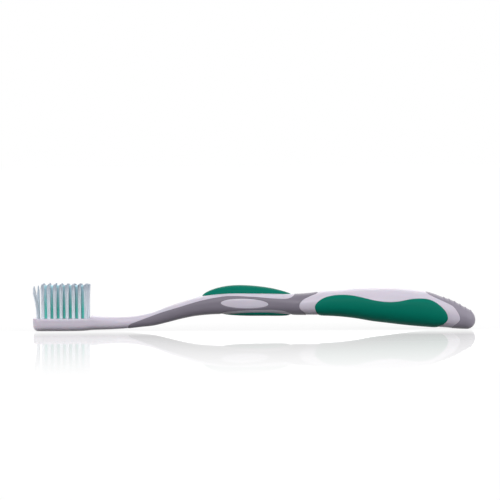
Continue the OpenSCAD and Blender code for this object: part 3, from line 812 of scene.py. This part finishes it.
# %% Build a pad from rings
PAD_ROWS = 110
PAD_AROUND = 96
STEEP_SHARE = 0.6
LONG_SHARE = 0.8
THUMB_SWELL = 3.35
FINGER_SWELL = 1.65
THIN_TIP = 0.04


def swell_at(u):
    top = STEEP_SHARE / (STEEP_SHARE + LONG_SHARE)
    return (u / top) ** STEEP_SHARE * ((1 - u) / (1 - top)) ** LONG_SHARE


def bend(v):
    return np.sign(v) * np.abs(v) ** (2 / PAD_SQUARE)


def make_pad(name, start, length, width, side, swell):
    u = (1 - np.cos(np.linspace(0, math.pi, PAD_ROWS)))[:, None] / 2
    turn = np.linspace(0, 2 * math.pi, PAD_AROUND, False)[None, :]
    edge = np.maximum(THIN_TIP, width * np.sqrt(u * (1 - u)))
    out = np.maximum(THIN_TIP, swell * swell_at(u if side > 0 else 1 - u))
    deep = np.maximum(THIN_TIP, PAD_DEPTH * (4 * u * (1 - u)) ** FLOOR_POWER)
    s = start + length * u + 0 * turn
    y = edge * bend(np.cos(turn))
    up = np.where(np.sin(turn) * side > 0, out, deep)
    z = rim_height(start + length * u, edge, side) + up * bend(np.sin(turn))
    pad = np.stack([s, y, z], -1).reshape(-1, 3)
    near = np.arange(1, PAD_AROUND - 1)
    far = (PAD_ROWS - 1) * PAD_AROUND
    ends = np.vstack([np.stack([0 * near, near, near + 1], 1),
                      np.stack([0 * near + far, near + far + 1, near + far], 1)])
    skin = np.vstack([faces_between(PAD_ROWS, PAD_AROUND), ends])
    return make_piece(name, pad, outward(pad, skin), green_rubber)


green_thumb = make_pad("green_thumb_pad", *PADS["thumb"], THUMB_SWELL)
green_finger = make_pad("green_finger_pad", *PADS["finger"], FINGER_SWELL)

# %% [markdown]
# ## Helpers for the node trees
# Tufts and ribs repeat by a rule, so Geometry Nodes make them. A tree has named inputs for its
# sizes. It is run once on an object, and its result is turned into a plain mesh.

# %% Make a tree and run it
VECTOR_MATH = "ShaderNodeVectorMath"


def new_tree(name, sockets):
    tree = bpy.data.node_groups.new(name, "GeometryNodeTree")
    tree.interface.new_socket("Geometry", in_out="OUTPUT", socket_type="NodeSocketGeometry")
    for label, kind in {"Geometry": "Geometry", **sockets}.items():
        tree.interface.new_socket(label, in_out="INPUT", socket_type="NodeSocket" + kind)
    return tree, tree.nodes.new("NodeGroupInput").outputs


def lines_at(tree, points, line, count):
    """A line of count points, copied to every one of the points."""
    fine = add(tree, "GeometryNodeResampleCurve", {"Curve": line, "Count": count})
    copies = add(tree, "GeometryNodeInstanceOnPoints", {"Points": points, "Instance": fine})
    return add(tree, "GeometryNodeRealizeInstances", {"Geometry": copies})


def tube(tree, curve, sides, radius, more):
    circle = add(tree, "GeometryNodeCurvePrimitiveCircle",
                 {"Resolution": sides, "Radius": radius})
    return add(tree, "GeometryNodeCurveToMesh",
               {"Curve": curve, "Profile Curve": circle, "Fill Caps": True, **more})


def end_tree(tree, mesh, material):
    """Shades the mesh smooth, makes its copies real and gives it its finish."""
    shaded = add(tree, "GeometryNodeSetShadeSmooth", {"Geometry": mesh})
    real = add(tree, "GeometryNodeRealizeInstances", {"Geometry": shaded})
    dressed = add(tree, "GeometryNodeSetMaterial", {"Geometry": real, "Material": material})
    add(tree, "NodeGroupOutput", {0: dressed})


def run_tree(tree, name, mesh, values):
    piece = put_in_scene(name, mesh)
    step = piece.modifiers.new("tree", "NODES")
    step.node_group = tree
    for item in tree.interface.items_tree:
        if item.in_out == "INPUT" and item.name in values:
            step[item.identifier] = values[item.name]
    as_plain_mesh(piece)
    return piece


print("tree helpers ready")

# %% [markdown]
# ## Ribs on the tail
# The top of the tail cap has small cross ribs for grip. Each is a thin round bar that follows
# the cap and is sunk into it for more than half of its thickness. Rays that are cast down from
# above find the cap, and the bars are then joined with it.

# %% The rib tree: bars laid on the cap
RIB_POINTS = 40
rib_tree, given = new_tree("tail ribs", {
    "Count": "Int", "First": "Vector", "Pitch": "Vector", "Half Length": "Vector",
    "Radius": "Float", "Sunk": "Float", "Material": "Material"})
tree = rib_tree
backwards = add(tree, VECTOR_MATH, {0: given["Half Length"], "Scale": -1}, operation="SCALE")
bar = add(tree, "GeometryNodeCurvePrimitiveLine",
          {"Start": backwards, "End": given["Half Length"]})
stations = add(tree, "GeometryNodeMeshLine", {
    "Count": given["Count"], "Start Location": given["First"], "Offset": given["Pitch"]})
loose = lines_at(tree, stations, bar, RIB_POINTS)
ray = add(tree, "GeometryNodeRaycast",
          {"Target Geometry": given["Geometry"], "Ray Direction": (0, 0, -1)})
below = add(tree, VECTOR_MATH, {0: ray.outputs["Hit Normal"], "Scale": given["Sunk"]},
            operation="SCALE")
seat = add(tree, VECTOR_MATH, {0: ray.outputs["Hit Position"], 1: below},
           operation="SUBTRACT")
laid = add(tree, "GeometryNodeSetPosition", {"Geometry": loose, "Position": seat})
print("nodes so far:", len(tree.nodes))

# %% The rib tree: rounded ends, and the union with the cap
RIB_SIDES = 16
END_POWER = 10.0
THIN_END = 0.02
way = add(tree, "GeometryNodeSplineParameter")
from_middle = add(tree, MATH, {0: way, 1: 0.5}, operation="SUBTRACT")
both_ways = add(tree, MATH, {0: from_middle, 1: 2.0}, operation="MULTIPLY")
outwards = add(tree, MATH, {0: both_ways}, operation="ABSOLUTE")
steep = add(tree, MATH, {0: outwards, 1: END_POWER}, operation="POWER")
left = add(tree, MATH, {0: 1.0, 1: steep}, operation="SUBTRACT", use_clamp=True)
taper = add(tree, MATH, {0: left}, operation="SQRT")
slim = add(tree, MATH, {0: taper, 1: THIN_END}, operation="MAXIMUM")
shaped = add(tree, "GeometryNodeSetCurveRadius", {"Curve": laid, "Radius": slim})
bars = tube(tree, shaped, RIB_SIDES, given["Radius"], {"Scale": slim})
joined = add(tree, "GeometryNodeMeshBoolean", {"Mesh 2": given["Geometry"]},
             operation="UNION", solver="MANIFOLD")
feed(tree, joined, {"Mesh 2": bars})
end_tree(tree, joined, given["Material"])
print("nodes in the rib tree:", len(tree.nodes))

# %% Put the ribs on the tail cap
RIB_COUNT = 6
RIB_PITCH = 2.3
RIB_W = 1.1
RIB_H = 0.25
RIB_L = 7
RIB_LAST_SHARE = 0.976
RAYS_FROM = 30
rib_last = WAIST_AT + RIB_LAST_SHARE * (BODY_LEN - WAIST_AT)
plain_cap = grey_cap.data
bpy.data.objects.remove(grey_cap)
grey_cap = run_tree(rib_tree, "grey_tail_cap", plain_cap, {
    "Count": RIB_COUNT,
    "First": in_metres([[rib_last, 0, RAYS_FROM]])[0].tolist(),
    "Pitch": (-RIB_PITCH * MM, 0, 0),
    "Half Length": (0, RIB_L / 2 * MM, 0),
    "Radius": RIB_W / 2 * MM,
    "Sunk": (RIB_W / 2 - RIB_H) * MM,
    "Material": cap_rubber_painted_lighter})
grey_cap.data.set_sharp_from_angle(angle=SHARP)
print("faces on the ribbed cap:", len(grey_cap.data.polygons))

# %% [markdown]
# ## Tufts of folded nylon
# A machine folds about twenty filaments in half over a flat metal anchor and punches them into
# each hole, so some forty ends stand up. They leave the hole as a tight round bundle, spread as
# they rise, and are trimmed and rounded at the top. Hair tools could do this, but a tree gives
# every filament its true thickness, a closed end and a fold at the bottom of its hole.

# %% The tuft tree: a spot for each filament
FILAMENT_POINTS = 9
GOLDEN = math.pi * (3 - math.sqrt(5))
tuft_tree, given = new_tree("punched tuft", {
    "Filaments": "Int", "Place": "Vector", "Lean": "Vector", "Root Radius": "Float",
    "Tip Radius": "Float", "Filament Radius": "Float", "Floor": "Float", "Face": "Float",
    "Height": "Float", "Crown": "Float", "Unevenness": "Float", "Seed": "Int",
    "Material": "Material"})
tree = tuft_tree
spots = add(tree, "GeometryNodePoints", {"Count": given["Filaments"]})
line = add(tree, "GeometryNodeCurvePrimitiveLine")
strands = lines_at(tree, spots, line, FILAMENT_POINTS)
which = add(tree, "GeometryNodeCurveOfPoint")
number, step = which.outputs["Curve Index"], which.outputs["Index in Curve"]

# Each filament has a spot on a golden spiral, which fills the round hole evenly.
half_on = add(tree, MATH, {0: number, 1: 0.5}, operation="ADD")
area = add(tree, MATH, {0: half_on, 1: given["Filaments"]}, operation="DIVIDE")
reach = add(tree, MATH, {0: area}, operation="SQRT")
turn = add(tree, MATH, {0: number, 1: GOLDEN, 2: given["Seed"]}, operation="MULTIPLY_ADD")
across = add(tree, MATH, {0: turn}, operation="COSINE")
along = add(tree, MATH, {0: turn}, operation="SINE")

# Its lowest point is the fold under the anchor, so it is drawn in to the anchor's plane.
ANCHOR_TURN = math.radians(45)
apart = add(tree, MATH, {0: step, 1: 1.0}, operation="MINIMUM")
across_fold = add(tree, MATH, {0: across, 1: apart}, operation="MULTIPLY")
flat = add(tree, "ShaderNodeCombineXYZ", {"X": along, "Y": across_fold})
turned = add(tree, "ShaderNodeVectorRotate", {"Vector": flat, "Angle": ANCHOR_TURN},
             rotation_type="Z_AXIS")
spot = add(tree, VECTOR_MATH, {0: turned, "Scale": reach}, operation="SCALE")
print("golden angle:", round(math.degrees(GOLDEN), 1), "degrees")

# %% The tuft tree: spread, lean and wander
# Points 0 to 2 of a filament are in the hole. From the face up, it spreads ever more.
HOLE_POINTS = 2.0
SPREAD_POWER = 2.2
past_face = add(tree, MATH, {0: step, 1: HOLE_POINTS}, operation="SUBTRACT")
rise = add(tree, MATH, {0: past_face, 1: FILAMENT_POINTS - 1 - HOLE_POINTS},
           operation="DIVIDE", use_clamp=True)
widen = add(tree, MATH, {0: rise, 1: SPREAD_POWER}, operation="POWER")
growth = add(tree, MATH, {0: given["Tip Radius"], 1: given["Root Radius"]},
             operation="SUBTRACT")
radius = add(tree, MATH, {0: widen, 1: growth, 2: given["Root Radius"]},
             operation="MULTIPLY_ADD")
spread = add(tree, VECTOR_MATH, {0: spot, "Scale": radius}, operation="SCALE")
lean = add(tree, VECTOR_MATH, {0: given["Lean"], "Scale": widen}, operation="SCALE")
chance = add(tree, "FunctionNodeRandomValue",
             {0: (-1, -1, -1), 1: (1, 1, 1), "ID": number, "Seed": given["Seed"]},
             data_type="FLOAT_VECTOR")
wander = add(tree, MATH, {0: widen, 1: given["Unevenness"]}, operation="MULTIPLY")
stray = add(tree, VECTOR_MATH, {0: chance, "Scale": wander}, operation="SCALE")
print("nodes so far:", len(tree.nodes))

# %% The tuft tree: heights and meshes
# The middle filaments stand a little above the outer ones, which gives the tuft its crown.
FILAMENT_SIDES = 5
in_hole = add(tree, MATH, {0: step, 1: HOLE_POINTS}, operation="DIVIDE", use_clamp=True)
hole_run = add(tree, MATH, {0: given["Face"], 1: given["Floor"]}, operation="SUBTRACT")
low = add(tree, MATH, {0: in_hole, 1: hole_run, 2: given["Floor"]}, operation="MULTIPLY_ADD")
inner = add(tree, MATH, {0: 1.0, 1: area}, operation="SUBTRACT")
height = add(tree, MATH, {0: inner, 1: given["Crown"], 2: given["Height"]},
             operation="MULTIPLY_ADD")
z = add(tree, MATH, {0: rise, 1: height, 2: low}, operation="MULTIPLY_ADD")
total = given["Place"]
for part in (spread, lean, stray, add(tree, "ShaderNodeCombineXYZ", {"Z": z})):
    total = add(tree, VECTOR_MATH, {0: total, 1: part}, operation="ADD")
placed = add(tree, "GeometryNodeSetPosition", {"Geometry": strands, "Position": total})
threads = tube(tree, placed, FILAMENT_SIDES, given["Filament Radius"], {})
end_tree(tree, threads, given["Material"])
print("nodes in the tuft tree:", len(tree.nodes))

# %% How each kind of tuft is cut
# In millimetres: how far it leans along the handle, how far its outer filaments stop below the
# trim, how much higher its middle is, and its radius at the top. The tip pair and the first
# outer tufts are pointed, and the inner tufts spread until they touch.
TRIM_H = 14.3
CUTS = {"tip_left": (-1.6, 4, 3.7, 0.55), "tip_right": (0.0, 4, 3.7, 0.55),
        "front": (0.0, 1.1, 1.7, 0.85), "outer": (0.0, 0, 0.3, 0.88),
        "inner": (0.0, 0.5, 0.3, 1.3), "heel": (0.1, 0, 0.3, 0.88)}
FRONT_END = FIRST_OUTER + 3.5 * TUFT_PITCH


def cut_of(place, s):
    kind = place.split("_")[0]
    if kind == "tip":
        return CUTS[place]
    return CUTS["front" if kind == "outer" and s < FRONT_END else kind]


print("kinds of tuft:", len(CUTS))

# %% Punch all the tufts
FILAMENTS = 44
FILAMENT_R = 0.11
FOLD_UP = 0.25
ROOT_SLACK = 0.08
UNEVENNESS = 0.18
bristles = {}
for seed, (place, (s, y)) in enumerate(tufts.items()):
    lean_s, drop, crown, top_r = cut_of(place, s)
    bristles[place] = run_tree(tuft_tree, "bristles_" + place, bpy.data.meshes.new(place), {
        "Filaments": FILAMENTS,
        "Place": in_metres([[s, y, 0]])[0].tolist(),
        "Lean": (lean_s * MM, 0, 0),
        "Root Radius": (TUFT_R - FILAMENT_R - ROOT_SLACK) * MM,
        "Tip Radius": (top_r - FILAMENT_R) * MM,
        "Filament Radius": FILAMENT_R * MM,
        "Floor": (PLATE_T - HOLE_DEPTH + FOLD_UP) * MM,
        "Face": PLATE_T * MM,
        "Height": (TRIM_H - drop) * MM,
        "Crown": crown * MM,
        "Unevenness": UNEVENNESS * MM,
        "Seed": seed,
        "Material": green_nylon if place.startswith("inner") else white_nylon})
print("filament ends:", FILAMENTS * len(bristles), "faces in one tuft:",
      len(bristles["tip_left"].data.polygons))

# %% [markdown]
# ## Putting the pieces in place of the measured ones
# Each new piece takes over from the piece of the measured model that it was built on. Nothing on
# a toothbrush turns or slides, so all of them ride on its one body. How far a new surface lies
# from the measured one is printed, to be sure that nothing has moved.

# %% Replace, ride and check
CHECK_EVERY = 25
stand_ins = {"handle_core": (white_handle, "handle_plastic"),
             "neck_sleeve": (grey_sleeve, "grey_soft"),
             "thumb_pad": (green_thumb, "green_soft"),
             "finger_pad": (green_finger, "green_soft"),
             "palm_grip": (green_grip, "green_soft"),
             "tail_cap": (grey_cap, "grey_soft")}
for place, piece in bristles.items():
    slot = "green_bristle" if place.startswith("inner") else "white_bristle"
    stand_ins["tuft_" + place] = (piece, slot)
for node, (piece, slot) in stand_ins.items():
    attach(piece, "root")
    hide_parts(node)
    if not node.startswith("tuft_"):
        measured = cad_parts[node].data
        tree_of = BVHTree.FromPolygons([v.co for v in measured.vertices],
                                       [p.vertices[:] for p in measured.polygons])
        gaps = [tree_of.find_nearest(v.co)[3] for v in list(piece.data.vertices)[::CHECK_EVERY]]
        print(f"{piece.name}: {max(gaps) / MM:.2f} mm at most from the measured {node}, "
              f"{sum(gaps) / len(gaps) / MM:.3f} mm on average")

# %% [markdown]
# ## The studio
# The brush lies on a polished white table in a tent of soft light: a lamp in front, one past
# each end, a weaker one behind, and a room that is darker in front than at the sides. The table
# is white to the camera and in reflections only. For the light that it sends up it is dark, so
# that the underside of the brush stays in shade. A share of it is really lit, and that share
# takes the shadow of the brush.

# %% The table top
FLOOR_HALF = 20.0
floor_mesh = bpy.data.meshes.new("table_top")
floor_mesh.from_pydata([(-FLOOR_HALF, -FLOOR_HALF, 0), (FLOOR_HALF, -FLOOR_HALF, 0),
                        (FLOOR_HALF, FLOOR_HALF, 0), (-FLOOR_HALF, FLOOR_HALF, 0)],
                       [], [(0, 1, 2, 3)])
table = put_in_scene("table_top", floor_mesh)
table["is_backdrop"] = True


def seen_directly(tree):
    """1 for what the camera sees directly, in a reflection or through something clear."""
    path = add(tree, "ShaderNodeLightPath").outputs
    through = add(tree, MATH, {0: path["Is Glossy Ray"], 1: path["Is Transmission Ray"]},
                  operation="MAXIMUM")
    return add(tree, MATH, {0: path["Is Camera Ray"], 1: through}, operation="MAXIMUM")


print("table:", 2 * FLOOR_HALF, "m wide")

# %% White acrylic: an even white, with a share that is lit
# The even white is a touch over 1, because the lit share is a touch under it.
EVEN_SHARE = 0.85
EVEN_WHITE = 1.02
acrylic = bpy.data.materials.new("white_acrylic_table")
tree = empty_tree(acrylic)
floor_mesh.materials.append(acrylic)
seen = seen_directly(tree)
paint = add(tree, "ShaderNodeMix", {0: seen, 6: linear("#504e52"), 7: WHITE},
            data_type="RGBA")
lit = add(tree, "ShaderNodeBsdfDiffuse", {"Color": paint.outputs[2]})
plain = add(tree, "ShaderNodeEmission", {"Color": WHITE, "Strength": EVEN_WHITE})
even = add(tree, MATH, {0: seen, 1: EVEN_SHARE}, operation="MULTIPLY")
matt = add(tree, "ShaderNodeMixShader", {0: even, 1: lit, 2: plain})
print("share of the table that takes a shadow:", round(1 - EVEN_SHARE, 2))

# %% White acrylic: its reflection
# It mirrors at a slant, as acrylic of IOR 1.49 does. Towards the viewer it fades out, and close
# under the brush it fades in, which leaves the white strip between the brush and its reflection.
FADED_AT, FULL_AT, FULL_SHARE = -0.19, -0.02, 0.66
START_AT, STARTED_AT = -0.006, -0.03
mirror = add(tree, "ShaderNodeBsdfGlossy", {"Color": WHITE, "Roughness": 0.02})
where = add(tree, "ShaderNodeTexCoord").outputs["Object"]
nearness = add(tree, "ShaderNodeSeparateXYZ", {"Vector": where}).outputs["Y"]
fade_out = add(tree, RANGE, {"Value": nearness, "From Min": FADED_AT, "From Max": FULL_AT,
                             "To Max": FULL_SHARE})
fade_in = add(tree, RANGE, {"Value": nearness, "From Min": START_AT, "From Max": STARTED_AT})
slant = add(tree, "ShaderNodeFresnel", {"IOR": 1.49})
share = seen
for part in (fade_out, fade_in, slant):
    share = add(tree, MATH, {0: share, 1: part}, operation="MULTIPLY")
top = add(tree, "ShaderNodeMixShader", {0: share, 1: matt, 2: mirror})
add(tree, "ShaderNodeOutputMaterial", {0: top})
print("nodes in the table's finish:", len(tree.nodes))

# %% The room
# It is white to the camera. Its light grows from the front to the sides, and stays so behind.
ROOM_LIGHT, SIDE_LIGHT = 0.25, 0.5
FRONT_AT, SIDE_AT = -0.75, -0.05
world = bpy.data.worlds.new("studio")
bpy.context.scene.world = world
tree = empty_tree(world)
seen = seen_directly(tree)
around = add(tree, "ShaderNodeTexCoord").outputs["Generated"]
back_side = add(tree, "ShaderNodeSeparateXYZ", {"Vector": around}).outputs["Y"]
wall = add(tree, RANGE, {"Value": back_side, "From Min": FRONT_AT, "From Max": SIDE_AT,
                         "To Min": ROOM_LIGHT, "To Max": SIDE_LIGHT})
level = add(tree, MATH, {0: seen, 1: wall}, operation="MAXIMUM")
sky = add(tree, "ShaderNodeBackground", {"Color": WHITE, "Strength": level})
add(tree, "ShaderNodeOutputWorld", {0: sky})
print("room light:", ROOM_LIGHT, "in front,", SIDE_LIGHT, "at the sides")

# %% Lamps
# Each is a very large softbox, far away: the direction that it shines in, its strength, and how
# many degrees it is wide.
LAMPS = {"soft_box_in_front": ((0, 1, -0.5), 1.04, 14),
         "soft_box_at_the_tip": ((1, 0.35, -0.1), 1.9, 50),
         "soft_box_at_the_tail": ((-1, 0.35, -0.4), 1.6, 60),
         "soft_box_behind": ((0, -1, -0.4), 0.8, 60)}
for name, (toward, strength, softness) in LAMPS.items():
    lamp = bpy.data.lights.new(name, "SUN")
    lamp.energy = strength
    lamp.angle = math.radians(softness)
    holder = put_in_scene(name, lamp)
    holder.rotation_mode = "QUATERNION"
    holder.rotation_quaternion = Vector(toward).to_track_quat("-Z", "Y")
print("lamps:", list(LAMPS))

# %% Camera
# The photo was taken from far away with a long lens, almost level with the table.
LENS = 150
SENSOR = 36
DISTANCE = 0.895
ELEVATION = math.radians(2.5)
ROLL = math.radians(0.3)
AIM = Vector((-0.00163, 0, 0.0343))
view = bpy.data.cameras.new("camera")
view.lens = LENS
view.sensor_width = SENSOR
view.clip_start = 0.01
view.clip_end = 100
camera = put_in_scene("camera", view)
back = Vector((0, -math.cos(ELEVATION), math.sin(ELEVATION)))
camera.location = AIM + back * DISTANCE
camera.rotation_mode = "QUATERNION"
camera.rotation_quaternion = Quaternion(back, -ROLL) @ back.to_track_quat("Z", "Y")
bpy.context.scene.camera = camera
bpy.context.scene.view_settings.view_transform = "Standard"
print("field of view across:", round(SENSOR / LENS * DISTANCE, 4), "m")

# %% [markdown]
# ## Last check
# The sizes of the measured model and of the finished one are printed one below the other.

# %% Sizes
for label, box in (("measured", cad_box), ("finished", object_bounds())):
    print(label, "size in mm:", [round((b - a) / MM, 2) for a, b in zip(*box)])
